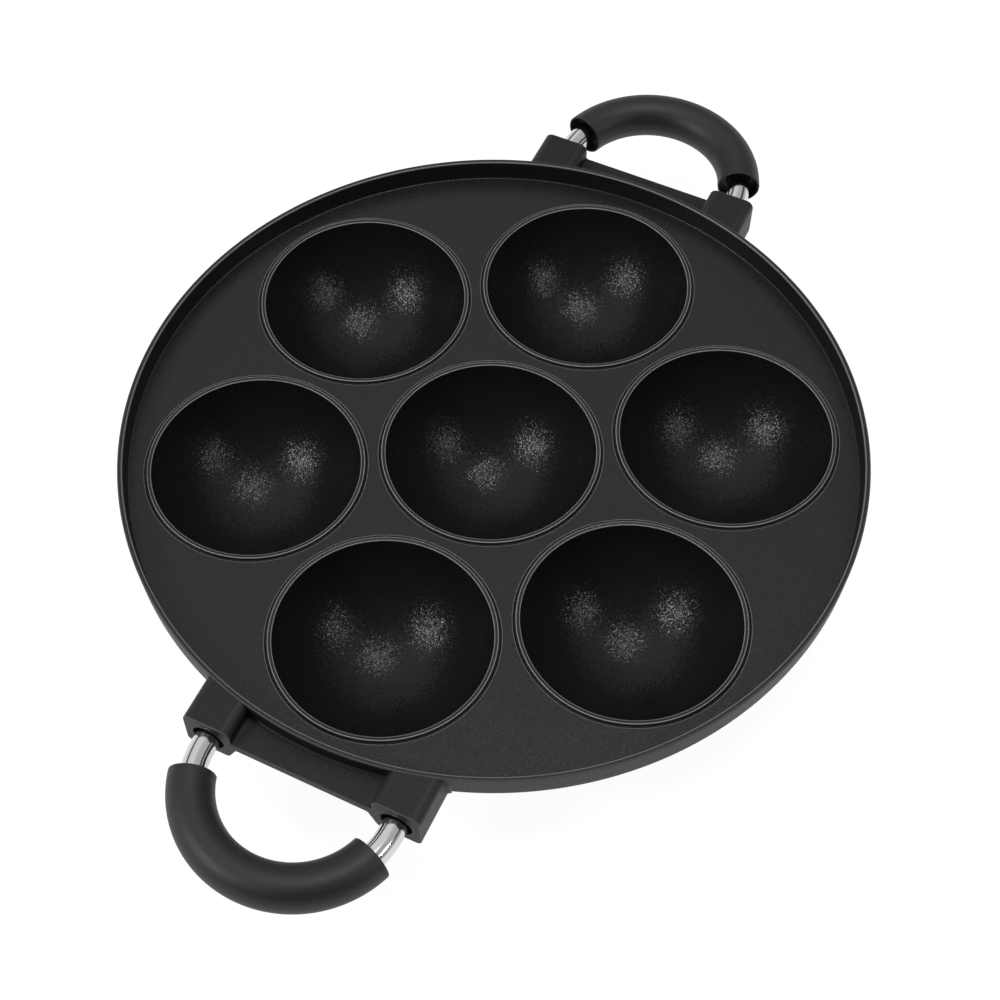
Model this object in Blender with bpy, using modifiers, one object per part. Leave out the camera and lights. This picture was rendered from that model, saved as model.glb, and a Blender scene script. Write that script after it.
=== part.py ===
"""A takoyaki pan: a round cast pan with seven hemispherical cups and two loop handles.

The pan stands on the flat pads under its cups, at z = 0. Its middle is the origin, and the
handles lie along X. Each handle is a bent steel tube whose ends go into two cast lugs, with a
moulded grip round its bend. In each lug a screw comes up from below, through the wall of the
tube, into a threaded slug that fills the tube's end.

The casting is one piece of metal. Here it is cut into the body and its seven cups, along the
outside of each cup, so that every cup is an open shell of its own.
"""

import math

import bmesh
import bpy
from mathutils import Matrix, Vector

# Clearance between pieces that touch, and how far a cutter runs past what it cuts
SEAT_GAP = 0.0003
CUT_OVERRUN = 0.002
MERGE_DISTANCE = 0.00001

# The cups
CUP_COUNT_ROUND = 6
CUP_MOUTH_RADIUS = 0.0342
CUP_DEPTH = 0.0300
CUP_WALL = 0.0032
CUP_BASE_WALL = 0.0026
BEAD_WIDTH = 0.0014
BEAD_SLOPE = 0.0011
BEAD_HEIGHT = 0.0007
CUP_GAP = 0.0029
CUP_SIDES = 32
CUP_INNER_STEPS = 6
CUP_OUTER_STEPS = 4

# The body: plate, rim and its inner and outer walls
CUP_RIM_GAP = 0.0051
RIM_HEIGHT = 0.0073
RIM_TOP_WIDTH = 0.0017
RIM_EDGE = 0.0004
INNER_LEAN = 0.0006
INNER_FILLET = 0.0010
OUTER_LEAN = 0.0007
OUTER_FILLET = 0.0022
PLATE_THICKNESS = 0.0034
RIM_SIDES = 96
FILLET_STEPS = 2

# The lugs that hold the handles, and the web between each pair
LUG_REACH = 0.0086
LUG_DROP = 0.0002
LUG_ROOF_WALL = 0.0043
LUG_FLOOR_WALL = 0.0026
LUG_INNER_WALL = 0.0079
LUG_OUTER_WALL = 0.0080
LUG_TOP_FILLET = 0.0028
LUG_LOW_FILLET = 0.0018
LUG_FOOT_SETBACK = 0.0015
LUG_FLARE = 0.0016
LUG_FACE_EDGE = 0.0006
WEB_FACE_SETBACK = 0.0002
WEB_THICKNESS = 0.0026

# The handle tubes
HANDLE_HALF_SPACING = 0.0315
BEND_CENTRE_OUT = 0.0020
TUBE_RADIUS = 0.0040
TUBE_WALL = 0.0010
TUBE_INSERTION = 0.0092
BORE_END_GAP = 0.0005
MOUTH_CLEARANCE = 0.00125
MOUTH_DEPTH = 0.0024
BEND_STEPS = 20
TUBE_RESOLUTION = 4

# The moulded grips
GRIP_RADIUS = 0.0073
GRIP_HALF_ANGLE = math.radians(71.5)
GRIP_STEPS = 16
GRIP_END_EDGE = 0.0009
GRIP_RESOLUTION = 6
GRIP_SLEEVE_GAP = 0.0003

# The fastening in each lug: slug, screw and spring washer
SLUG_LENGTH = 0.0080
SLUG_END_INSET = 0.0004
SCREW_RADIUS = 0.0015
SCREW_REACH = 0.0013
SCREW_HEAD_RADIUS = 0.0028
SCREW_HEAD_HEIGHT = 0.0020
SCREW_HEAD_ROUND = 0.0008
RECESS_LENGTH = 0.0030
RECESS_WIDTH = 0.0007
RECESS_DEPTH = 0.0011
WASHER_RADIUS = 0.0031
WASHER_THICKNESS = 0.0008
WASHER_SLIT = 0.0006
SMALL_SIDES = 16

# Heights that follow from the sizes above
BEAD_TOP_Z = CUP_BASE_WALL + CUP_DEPTH
PLATE_TOP_Z = BEAD_TOP_Z - BEAD_HEIGHT
PLATE_BOTTOM_Z = PLATE_TOP_Z - PLATE_THICKNESS
RIM_TOP_Z = PLATE_TOP_Z + RIM_HEIGHT
LUG_TOP_Z = RIM_TOP_Z - LUG_DROP
LUG_BORE_RADIUS = TUBE_RADIUS + SEAT_GAP
HANDLE_Z = LUG_TOP_Z - LUG_ROOF_WALL - LUG_BORE_RADIUS
LUG_BOTTOM_Z = HANDLE_Z - LUG_BORE_RADIUS - LUG_FLOOR_WALL
WEB_TOP_Z = BEAD_TOP_Z
WEB_BOTTOM_Z = WEB_TOP_Z - WEB_THICKNESS

# Sizes across that follow from the sizes above
CUP_SPHERE_RADIUS = (CUP_MOUTH_RADIUS ** 2 + CUP_DEPTH ** 2) / (2 * CUP_DEPTH)
CUP_SPHERE_Z = CUP_BASE_WALL + CUP_SPHERE_RADIUS
DOME_RADIUS = CUP_SPHERE_RADIUS + CUP_WALL
BEAD_TOP_RADIUS = CUP_MOUTH_RADIUS + BEAD_WIDTH
BEAD_FOOT_RADIUS = BEAD_TOP_RADIUS + BEAD_SLOPE
CUP_PITCH = 2 * BEAD_FOOT_RADIUS + CUP_GAP
TRAY_RADIUS = CUP_PITCH + BEAD_FOOT_RADIUS + CUP_RIM_GAP
RIM_INNER_RADIUS = TRAY_RADIUS + INNER_LEAN
RIM_RADIUS = RIM_INNER_RADIUS + RIM_TOP_WIDTH
BODY_FOOT_RADIUS = RIM_RADIUS - OUTER_LEAN
LUG_FACE = RIM_RADIUS + LUG_REACH
LUG_INNER_Y = HANDLE_HALF_SPACING - LUG_INNER_WALL
LUG_OUTER_Y = HANDLE_HALF_SPACING + LUG_OUTER_WALL
WEB_EDGE = LUG_FACE - WEB_FACE_SETBACK
BEND_CENTRE = LUG_FACE + BEND_CENTRE_OUT
TUBE_END = LUG_FACE - TUBE_INSERTION
TUBE_BORE_RADIUS = TUBE_RADIUS - TUBE_WALL
LUG_BORE_END = TUBE_END - BORE_END_GAP
MOUTH_RADIUS = TUBE_RADIUS + MOUTH_CLEARANCE
SLUG_RADIUS = TUBE_BORE_RADIUS - SEAT_GAP
SCREW_HOLE_RADIUS = SCREW_RADIUS + SEAT_GAP
SCREW_X = TUBE_END + SLUG_END_INSET + SLUG_LENGTH / 2
WASHER_TOP_Z = LUG_BOTTOM_Z - SEAT_GAP
HEAD_TOP_Z = WASHER_TOP_Z - WASHER_THICKNESS - SEAT_GAP
SCREW_TIP_Z = HANDLE_Z + SCREW_REACH


def clear_scene():
    """Removes every object, so that the pan stands alone."""
    for thing in list(bpy.data.objects):
        bpy.data.objects.remove(thing, do_unlink=True)


def make_collection(name):
    """A collection under the scene's own."""
    collection = bpy.data.collections.new(name)
    bpy.context.scene.collection.children.link(collection)
    return collection


def make_material(name, colour, roughness, metallic):
    """A plain finish for one piece."""
    material = bpy.data.materials.new(name)
    material.use_nodes = True
    shader = material.node_tree.nodes["Principled BSDF"]
    shader.inputs["Base Color"].default_value = (*colour, 1.0)
    shader.inputs["Roughness"].default_value = roughness
    shader.inputs["Metallic"].default_value = metallic
    return material


def evaluated_mesh(thing):
    """The mesh of an object with its modifiers, with doubled corners merged."""
    bpy.context.view_layer.update()
    graph = bpy.context.evaluated_depsgraph_get()
    mesh = bpy.data.meshes.new_from_object(thing.evaluated_get(graph), depsgraph=graph)
    work = bmesh.new()
    work.from_mesh(mesh)
    bmesh.ops.remove_doubles(work, verts=work.verts, dist=MERGE_DISTANCE)
    work.to_mesh(mesh)
    work.free()
    return mesh


def baked(thing):
    """Turns an object into its evaluated mesh, placed in the world, and removes the object."""
    mesh = evaluated_mesh(thing)
    mesh.transform(thing.matrix_world)
    bpy.data.objects.remove(thing, do_unlink=True)
    return mesh


def add_object(name, mesh, collection, material=None):
    """Puts a mesh into a collection as a named object."""
    thing = bpy.data.objects.new(name, mesh)
    collection.objects.link(thing)
    if material is not None:
        mesh.materials.clear()
        mesh.materials.append(material)
    return thing


def shade(thing, sharp_angle=math.radians(35)):
    """Smooth shading with sharp edges where the surface turns a corner."""
    thing.data.shade_smooth()
    thing.data.set_sharp_from_angle(angle=sharp_angle)


def arc_points(centre_r, centre_z, radius, start, end, steps):
    """Points of an arc in a profile, from one angle to another, both ends included."""
    points = []
    for step in range(steps + 1):
        angle = start + (end - start) * step / steps
        points.append((centre_r + radius * math.cos(angle), centre_z + radius * math.sin(angle)))
    return points


def turned(name, profile, sides, closed=False):
    """The mesh of a profile of (radius, height) points turned about Z, top to bottom."""
    outline = bpy.data.meshes.new(name)
    edges = [(index, index + 1) for index in range(len(profile) - 1)]
    if closed:
        edges.append((len(profile) - 1, 0))
    outline.from_pydata([(radius, 0.0, height) for radius, height in profile], edges, [])
    thing = bpy.data.objects.new(name, outline)
    bpy.context.scene.collection.objects.link(thing)
    screw = thing.modifiers.new("turn", "SCREW")
    screw.steps = sides
    screw.render_steps = sides
    screw.use_merge_vertices = True
    screw.merge_threshold = MERGE_DISTANCE
    return baked(thing)


def gathered(name, mesh, places):
    """One mesh that holds a copy of another mesh at each place."""
    work = bmesh.new()
    for place in places:
        copy = mesh.copy()
        copy.transform(place)
        if place.is_negative:
            copy.flip_normals()
        work.from_mesh(copy)
        bpy.data.meshes.remove(copy)
    result = bpy.data.meshes.new(name)
    work.to_mesh(result)
    work.free()
    return result


def swept(name, path, radius, resolution):
    """The mesh of a round bar of one radius along a flat path."""
    curve = bpy.data.curves.new(name, "CURVE")
    curve.dimensions = "3D"
    curve.twist_mode = "Z_UP"
    curve.bevel_depth = radius
    curve.bevel_resolution = resolution
    curve.use_fill_caps = True
    spline = curve.splines.new("POLY")
    spline.points.add(len(path) - 1)
    for point, place in zip(spline.points, path):
        point.co = (*place, 1.0)
    thing = bpy.data.objects.new(name, curve)
    bpy.context.scene.collection.objects.link(thing)
    return baked(thing)


def rounded_outline(corners):
    """The points of a closed outline whose corners (x, y, fillet radius) are rounded off."""
    points = []
    for index, (x, y, radius) in enumerate(corners):
        corner = Vector((x, y))
        before = Vector(corners[index - 1][:2]) - corner
        after = Vector(corners[(index + 1) % len(corners)][:2]) - corner
        before.normalize()
        after.normalize()
        if radius == 0:
            points.append(tuple(corner))
            continue
        half = before.angle(after) / 2
        centre = corner + (before + after).normalized() * (radius / math.sin(half))
        start = corner + before * (radius / math.tan(half)) - centre
        turn = start.angle_signed(corner + after * (radius / math.tan(half)) - centre)
        for step in range(FILLET_STEPS + 1):
            spoke = start.copy()
            spoke.rotate(Matrix.Rotation(-turn * step / FILLET_STEPS, 2))
            points.append(tuple(centre + spoke))
    return points


def extruded(name, outline, low, high):
    """The mesh of an outline in X and Y, made thick from one height to another along Z."""
    curve = bpy.data.curves.new(name, "CURVE")
    curve.dimensions = "2D"
    curve.fill_mode = "BOTH"
    curve.extrude = (high - low) / 2
    spline = curve.splines.new("POLY")
    spline.points.add(len(outline) - 1)
    spline.use_cyclic_u = True
    for point, place in zip(spline.points, outline):
        point.co = (*place, 0.0, 1.0)
    thing = bpy.data.objects.new(name, curve)
    thing.location.z = (high + low) / 2
    bpy.context.scene.collection.objects.link(thing)
    return baked(thing)


def add_boolean(thing, cutter, operation):
    """Cuts or joins one object with another, which is hidden and shown as wire."""
    modifier = thing.modifiers.new(cutter.name, "BOOLEAN")
    modifier.operation = operation
    modifier.solver = "EXACT"
    modifier.object = cutter
    cutter.hide_render = True
    cutter.display_type = "WIRE"


def add_edge_rounding(thing, width, steps=1, angle=math.radians(60)):
    """Rounds the edges that are sharper than an angle."""
    bevel = thing.modifiers.new("edges", "BEVEL")
    bevel.width = width
    bevel.segments = steps
    bevel.limit_method = "ANGLE"
    bevel.angle_limit = angle


def cup_places():
    """The middle of each cup: one in the centre and the others round it, the first at +X."""
    places = [("cup_centre", Vector((0.0, 0.0, 0.0)))]
    for index in range(CUP_COUNT_ROUND):
        angle = math.tau * index / CUP_COUNT_ROUND
        spot = Vector((CUP_PITCH * math.cos(angle), CUP_PITCH * math.sin(angle), 0.0))
        places.append((f"cup_{index + 1}", spot))
    return places


def lug_places():
    """Mirrors the right back lug, at +X and +Y, to all four lugs."""
    places = []
    for side, along in (("right", 1), ("left", -1)):
        for end, across in (("back", 1), ("front", -1)):
            places.append((f"{side}_{end}", Matrix.Diagonal((along, across, 1.0, 1.0))))
    return places


def side_places():
    """The right handle's side as it is, and turned half round for the left one."""
    return [("right", Matrix.Identity(4)), ("left", Matrix.Rotation(math.pi, 4, "Z"))]


def cup_profile():
    """Half the section of a cup: its bead, its inside and its domed outside with a flat pad."""
    mouth = math.atan2(BEAD_TOP_Z - CUP_SPHERE_Z, CUP_MOUTH_RADIUS)
    down = -math.pi / 2
    inside = arc_points(0.0, CUP_SPHERE_Z, CUP_SPHERE_RADIUS, down, mouth, CUP_INNER_STEPS)
    plate_drop = CUP_SPHERE_Z - PLATE_BOTTOM_Z
    shoulder = -math.asin(plate_drop / DOME_RADIUS)
    pad = -math.asin(CUP_SPHERE_Z / DOME_RADIUS)
    outside = arc_points(0.0, CUP_SPHERE_Z, DOME_RADIUS, shoulder, pad, CUP_OUTER_STEPS)
    bead = [(BEAD_TOP_RADIUS, BEAD_TOP_Z), (BEAD_FOOT_RADIUS, PLATE_TOP_Z)]
    profile = [(0.0, inside[0][1])] + inside[1:] + bead + outside
    profile.append((0.0, 0.0))
    return profile


def dome_radius_at(height):
    """The outer radius of a cup below the plate."""
    return math.sqrt(DOME_RADIUS ** 2 - (CUP_SPHERE_Z - height) ** 2)


def body_profile():
    """Half the section of the body's outside: a plain disc with rounded edges."""
    foot = arc_points(BODY_FOOT_RADIUS - OUTER_FILLET, PLATE_BOTTOM_Z + OUTER_FILLET,
                      OUTER_FILLET, 0.0, -math.pi / 2, FILLET_STEPS)
    rim = [(RIM_RADIUS - RIM_EDGE, RIM_TOP_Z), (RIM_RADIUS, RIM_TOP_Z - RIM_EDGE)]
    return [(0.0, RIM_TOP_Z)] + rim + foot + [(0.0, PLATE_BOTTOM_Z)]


def tray_profile():
    """Half the section of the space above the plate, which the rim goes round."""
    floor = arc_points(TRAY_RADIUS - INNER_FILLET, PLATE_TOP_Z + INNER_FILLET, INNER_FILLET,
                       0.0, -math.pi / 2, FILLET_STEPS)
    above = (RIM_INNER_RADIUS + RIM_EDGE + CUT_OVERRUN, RIM_TOP_Z + CUT_OVERRUN)
    wall = [above, (RIM_INNER_RADIUS, RIM_TOP_Z - RIM_EDGE)]
    return [(0.0, above[1])] + wall + floor + [(0.0, PLATE_TOP_Z)]


def lug_outline():
    """The front view of the back lug: a block with a slanted inner foot, as (Y, Z) corners."""
    foot_y = LUG_INNER_Y + LUG_FOOT_SETBACK
    return rounded_outline([
        (LUG_INNER_Y, LUG_TOP_Z, LUG_TOP_FILLET),
        (LUG_INNER_Y, WEB_TOP_Z, 0.0),
        (LUG_INNER_Y - LUG_FLARE, WEB_BOTTOM_Z, 0.0),
        (foot_y, LUG_BOTTOM_Z, LUG_LOW_FILLET),
        (LUG_OUTER_Y, LUG_BOTTOM_Z, LUG_LOW_FILLET),
        (LUG_OUTER_Y, LUG_TOP_Z, LUG_TOP_FILLET),
    ])


def lug_mesh():
    """The back right lug, from inside the body's wall to the face that the tube enters."""
    root = math.sqrt(TRAY_RADIUS ** 2 - LUG_OUTER_Y ** 2)
    mesh = extruded("lug", lug_outline(), root, LUG_FACE)
    # The outline's X, Y and Z become the pan's Y, Z and X
    mesh.transform(Matrix(((0, 0, 1, 0), (1, 0, 0, 0), (0, 1, 0, 0), (0, 0, 0, 1))))
    return mesh


def web_mesh():
    """The thin plate between two lugs, its top level with the beads round the cups."""
    root = math.sqrt(TRAY_RADIUS ** 2 - LUG_OUTER_Y ** 2)
    reach = LUG_INNER_Y + LUG_INNER_WALL / 2
    outline = [(root, -reach), (WEB_EDGE, -reach), (WEB_EDGE, reach), (root, reach)]
    return extruded("web", outline, WEB_BOTTOM_Z, WEB_TOP_Z)


def lug_bore_mesh():
    """The hole in a lug: a wide mouth, then a close bore for the tube."""
    profile = [
        (0.0, LUG_FACE + CUT_OVERRUN),
        (MOUTH_RADIUS, LUG_FACE + CUT_OVERRUN),
        (MOUTH_RADIUS, LUG_FACE - MOUTH_DEPTH),
        (LUG_BORE_RADIUS, LUG_FACE - MOUTH_DEPTH),
        (LUG_BORE_RADIUS, LUG_BORE_END),
        (0.0, LUG_BORE_END),
    ]
    mesh = turned("lug_bore", profile, SMALL_SIDES)
    mesh.transform(Matrix.Rotation(math.pi / 2, 4, "Y"))
    mesh.transform(Matrix.Translation((0.0, HANDLE_HALF_SPACING, HANDLE_Z)))
    return mesh


def pin_mesh(name, radius, low, high):
    """An upright round pin at the screw's place in the back right lug."""
    profile = [(0.0, high), (radius, high), (radius, low), (0.0, low)]
    mesh = turned(name, profile, SMALL_SIDES)
    mesh.transform(Matrix.Translation((SCREW_X, HANDLE_HALF_SPACING, 0.0)))
    return mesh


def make_body(parts, cutters, material):
    """The cast body with its lugs, webs, bores and the holes that the cups fill."""
    body = add_object("pan_body", turned("pan_body", body_profile(), RIM_SIDES), parts, material)

    rounded_lug = add_object("rounded_lug", lug_mesh(), cutters)
    add_edge_rounding(rounded_lug, LUG_FACE_EDGE)
    lug = baked(rounded_lug)
    lugs = add_object("lugs", gathered("lugs", lug, [m for _, m in lug_places()]), cutters)
    add_boolean(body, lugs, "UNION")

    web = web_mesh()
    webs = add_object("webs", gathered("webs", web, [m for _, m in side_places()]), cutters)
    add_boolean(body, webs, "UNION")

    tray = add_object("tray", turned("tray", tray_profile(), RIM_SIDES), cutters)
    add_boolean(body, tray, "DIFFERENCE")

    hole = turned("cup_hole", cup_hole_profile(), CUP_SIDES)
    places = [Matrix.Translation(spot) for _, spot in cup_places()]
    holes = add_object("cup_holes", gathered("cup_holes", hole, places), cutters)
    add_boolean(body, holes, "DIFFERENCE")

    bore = lug_bore_mesh()
    bores = add_object("lug_bores", gathered("lug_bores", bore, [m for _, m in lug_places()]),
                       cutters)
    add_boolean(body, bores, "DIFFERENCE")

    screw_hole = pin_mesh("screw_hole", SCREW_HOLE_RADIUS, LUG_BOTTOM_Z - CUT_OVERRUN, HANDLE_Z)
    screw_holes = add_object("screw_holes",
                             gathered("screw_holes", screw_hole, [m for _, m in lug_places()]),
                             cutters)
    add_boolean(body, screw_holes, "DIFFERENCE")
    shade(body)
    return body


def cup_hole_profile():
    """The hole that a cup fills, one seat gap wider than the cup all round."""
    top = (BEAD_FOOT_RADIUS + SEAT_GAP, PLATE_TOP_Z + CUT_OVERRUN)
    shoulder = (BEAD_FOOT_RADIUS + SEAT_GAP, PLATE_TOP_Z)
    foot = (dome_radius_at(PLATE_BOTTOM_Z) + SEAT_GAP, PLATE_BOTTOM_Z)
    below = (foot[0], PLATE_BOTTOM_Z - CUT_OVERRUN)
    return [(0.0, top[1]), top, shoulder, foot, below, (0.0, below[1])]


def make_cups(parts, material):
    """Seven cups that share one mesh."""
    mesh = turned("cup", cup_profile(), CUP_SIDES)
    mesh.materials.append(material)
    for name, spot in cup_places():
        cup = bpy.data.objects.new(name, mesh)
        cup.location = spot
        parts.objects.link(cup)
        shade(cup)


def tube_path(overrun=0.0):
    """The middle line of the right handle's tube: a leg, a half circle and the other leg."""
    path = [(TUBE_END - overrun, HANDLE_HALF_SPACING, HANDLE_Z)]
    path += bend_points(math.pi / 2, -math.pi / 2, BEND_STEPS)
    path.append((TUBE_END - overrun, -HANDLE_HALF_SPACING, HANDLE_Z))
    return path


def bend_points(start, end, steps):
    """Points of the half circle that the handle follows, between two angles from +X."""
    points = []
    for step in range(steps + 1):
        angle = start + (end - start) * step / steps
        points.append((BEND_CENTRE + HANDLE_HALF_SPACING * math.cos(angle),
                       HANDLE_HALF_SPACING * math.sin(angle), HANDLE_Z))
    return points


def make_tubes(parts, cutters, material):
    """The two bent tubes, hollow from end to end, with a screw hole under each end."""
    outside = swept("tube", tube_path(), TUBE_RADIUS, TUBE_RESOLUTION)
    inside = swept("tube_bore", tube_path(CUT_OVERRUN), TUBE_BORE_RADIUS, TUBE_RESOLUTION)
    bore = add_object("tube_bore", inside, cutters)
    hole = pin_mesh("tube_hole", SCREW_HOLE_RADIUS, HANDLE_Z - TUBE_RADIUS - CUT_OVERRUN,
                    HANDLE_Z)
    across = [Matrix.Identity(4), Matrix.Diagonal((1.0, -1.0, 1.0, 1.0))]
    holes = add_object("tube_holes", gathered("tube_holes", hole, across), cutters)
    blank = add_object("tube_blank", outside, cutters)
    add_boolean(blank, bore, "DIFFERENCE")
    add_boolean(blank, holes, "DIFFERENCE")
    mesh = baked(blank)
    mesh.materials.clear()
    mesh.materials.append(material)
    for side, turn in side_places():
        tube = bpy.data.objects.new(f"{side}_handle_tube", mesh)
        tube.matrix_world = turn
        parts.objects.link(tube)
        shade(tube)


def make_grips(parts, cutters, material):
    """The two moulded grips, each round the bend of its tube."""
    outside = swept("grip", bend_points(GRIP_HALF_ANGLE, -GRIP_HALF_ANGLE, GRIP_STEPS),
                    GRIP_RADIUS, GRIP_RESOLUTION)
    bore = add_object("grip_bore", swept("grip_bore", tube_path(), TUBE_RADIUS + GRIP_SLEEVE_GAP,
                                         TUBE_RESOLUTION), cutters)
    blank = add_object("grip_blank", outside, cutters)
    add_edge_rounding(blank, GRIP_END_EDGE, steps=2)
    add_boolean(blank, bore, "DIFFERENCE")
    mesh = baked(blank)
    mesh.materials.clear()
    mesh.materials.append(material)
    for side, turn in side_places():
        grip = bpy.data.objects.new(f"{side}_grip", mesh)
        grip.matrix_world = turn
        parts.objects.link(grip)
        shade(grip)


def slug_mesh(cutters):
    """A round slug for the tube's end, with a threaded hole up through its middle."""
    half = SLUG_LENGTH / 2
    profile = [(0.0, half), (SLUG_RADIUS, half), (SLUG_RADIUS, -half), (0.0, -half)]
    mesh = turned("slug", profile, SMALL_SIDES)
    mesh.transform(Matrix.Rotation(math.pi / 2, 4, "Y"))
    mesh.transform(Matrix.Translation((SCREW_X, HANDLE_HALF_SPACING, HANDLE_Z)))
    blank = add_object("slug_blank", mesh, cutters)
    low = HANDLE_Z - SLUG_RADIUS - CUT_OVERRUN
    high = HANDLE_Z + SLUG_RADIUS + CUT_OVERRUN
    hole = add_object("slug_hole", pin_mesh("slug_hole", SCREW_HOLE_RADIUS, low, high), cutters)
    add_boolean(blank, hole, "DIFFERENCE")
    return baked(blank)


def screw_mesh(cutters):
    """A pan head screw, head down, with a cross recess."""
    head_bottom = HEAD_TOP_Z - SCREW_HEAD_HEIGHT
    rounding = arc_points(SCREW_HEAD_RADIUS - SCREW_HEAD_ROUND, head_bottom + SCREW_HEAD_ROUND,
                          SCREW_HEAD_ROUND, 0.0, -math.pi / 2, FILLET_STEPS)
    profile = [(0.0, SCREW_TIP_Z), (SCREW_RADIUS, SCREW_TIP_Z), (SCREW_RADIUS, HEAD_TOP_Z),
               (SCREW_HEAD_RADIUS, HEAD_TOP_Z)] + rounding + [(0.0, head_bottom)]
    mesh = turned("screw", profile, SMALL_SIDES)
    mesh.transform(Matrix.Translation((SCREW_X, HANDLE_HALF_SPACING, 0.0)))
    blank = add_object("screw_blank", mesh, cutters)
    for name, turn in (("recess_along", 0.0), ("recess_across", math.pi / 2)):
        half = RECESS_LENGTH / 2
        side = RECESS_WIDTH / 2
        slot = extruded(name, [(-half, -side), (half, -side), (half, side), (-half, side)],
                        head_bottom - CUT_OVERRUN, head_bottom + RECESS_DEPTH)
        slot.transform(Matrix.Rotation(turn, 4, "Z"))
        slot.transform(Matrix.Translation((SCREW_X, HANDLE_HALF_SPACING, 0.0)))
        add_boolean(blank, add_object(name, slot, cutters), "DIFFERENCE")
    return baked(blank)


def washer_mesh(cutters):
    """A split spring washer under the screw's head."""
    low = WASHER_TOP_Z - WASHER_THICKNESS
    profile = [(WASHER_RADIUS, WASHER_TOP_Z), (WASHER_RADIUS, low),
               (SCREW_HOLE_RADIUS, low), (SCREW_HOLE_RADIUS, WASHER_TOP_Z)]
    mesh = turned("washer", profile, SMALL_SIDES, closed=True)
    mesh.transform(Matrix.Translation((SCREW_X, HANDLE_HALF_SPACING, 0.0)))
    blank = add_object("washer_blank", mesh, cutters)
    half = WASHER_SLIT / 2
    outline = [(0.0, -half), (WASHER_RADIUS + CUT_OVERRUN, -half),
               (WASHER_RADIUS + CUT_OVERRUN, half), (0.0, half)]
    slit = extruded("washer_slit", outline, low - CUT_OVERRUN, WASHER_TOP_Z + CUT_OVERRUN)
    slit.transform(Matrix.Translation((SCREW_X, HANDLE_HALF_SPACING, 0.0)))
    add_boolean(blank, add_object("washer_slit", slit, cutters), "DIFFERENCE")
    return baked(blank)


def make_fastenings(parts, cutters, material):
    """A slug, a screw and a spring washer at each of the four lugs."""
    for kind, mesh in (("slug", slug_mesh(cutters)), ("screw", screw_mesh(cutters)),
                       ("washer", washer_mesh(cutters))):
        for lug, place in lug_places():
            piece = add_object(f"{lug}_{kind}", gathered(kind, mesh, [place]), parts, material)
            shade(piece)


def main():
    """Builds the pan."""
    clear_scene()
    parts = make_collection("takoyaki_pan")
    cutters = make_collection("cutters")
    coated = make_material("coated_casting", (0.030, 0.030, 0.032), 0.5, 0.0)
    steel = make_material("stainless_steel", (0.62, 0.61, 0.60), 0.28, 1.0)
    phenolic = make_material("phenolic_resin", (0.028, 0.025, 0.027), 0.45, 0.0)
    zinc = make_material("zinc_plated_steel", (0.55, 0.56, 0.58), 0.35, 1.0)
    make_body(parts, cutters, coated)
    make_cups(parts, coated)
    make_tubes(parts, cutters, steel)
    make_grips(parts, cutters, phenolic)
    make_fastenings(parts, cutters, zinc)


main()
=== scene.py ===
# %% [markdown]
# # A cast takoyaki pan
# The object is a round cast-aluminium pan with seven hemispherical cups, a black non-stick
# coating, and a loop handle on each side: a bent steel tube with a moulded grip. This file
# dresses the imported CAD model: it builds each visible piece again with finer edges, and gives
# each one a finish made of nodes. Everything is in metres, in the CAD model's own frame, with
# the pan's middle on the Z axis and the floor at z = 0.
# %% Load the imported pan
import math

import bmesh
import bpy
from mathutils import Matrix, Vector
from mathutils.geometry import delaunay_2d_cdt


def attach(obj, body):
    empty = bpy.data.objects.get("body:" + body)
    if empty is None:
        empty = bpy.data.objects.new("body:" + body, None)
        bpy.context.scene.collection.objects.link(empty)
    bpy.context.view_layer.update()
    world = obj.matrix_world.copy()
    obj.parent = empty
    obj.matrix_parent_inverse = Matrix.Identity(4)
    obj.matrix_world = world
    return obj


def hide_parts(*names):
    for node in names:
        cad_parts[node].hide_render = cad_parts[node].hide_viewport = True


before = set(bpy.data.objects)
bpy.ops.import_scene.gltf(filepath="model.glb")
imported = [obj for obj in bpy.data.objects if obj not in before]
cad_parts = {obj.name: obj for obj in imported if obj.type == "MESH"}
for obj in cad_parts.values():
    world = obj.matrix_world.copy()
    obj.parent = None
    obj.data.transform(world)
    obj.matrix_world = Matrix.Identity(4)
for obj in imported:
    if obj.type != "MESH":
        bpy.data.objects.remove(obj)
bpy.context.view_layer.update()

MM = 0.001

# %% [markdown]
# ## The camera
# The photograph looks down on the pan from its front left, about 57 degrees above the floor.
# Its place and turn were fitted to the edges of the cups, the rim and the handles, so they are
# written as a point and three directions: the picture's right, its up, and back to the eye.
# The small shift is where the picture was cropped off its middle.
# %% Camera
EYE = Vector((-0.3187778, -0.1528935, 0.5488872))
PICTURE_RIGHT = Vector((0.45354281, -0.89044834, -0.03742566))
PICTURE_UP = Vector((0.75718078, 0.36283474, 0.54316500))
TOWARDS_EYE = Vector((-0.47008104, -0.27468657, 0.83879146))

lens = bpy.data.cameras.new("camera")
lens.lens = 69.4115
lens.sensor_width = 36.0
lens.shift_x = 0.095
lens.clip_end = 20.0
camera = bpy.data.objects.new("camera", lens)
turn = Matrix((PICTURE_RIGHT, PICTURE_UP, TOWARDS_EYE)).transposed().to_4x4()
camera.matrix_world = Matrix.Translation(EYE) @ turn
bpy.context.scene.collection.objects.link(camera)
bpy.context.scene.camera = camera
print("camera", round(math.degrees(math.asin(TOWARDS_EYE.z))), "degrees above the floor")


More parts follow.
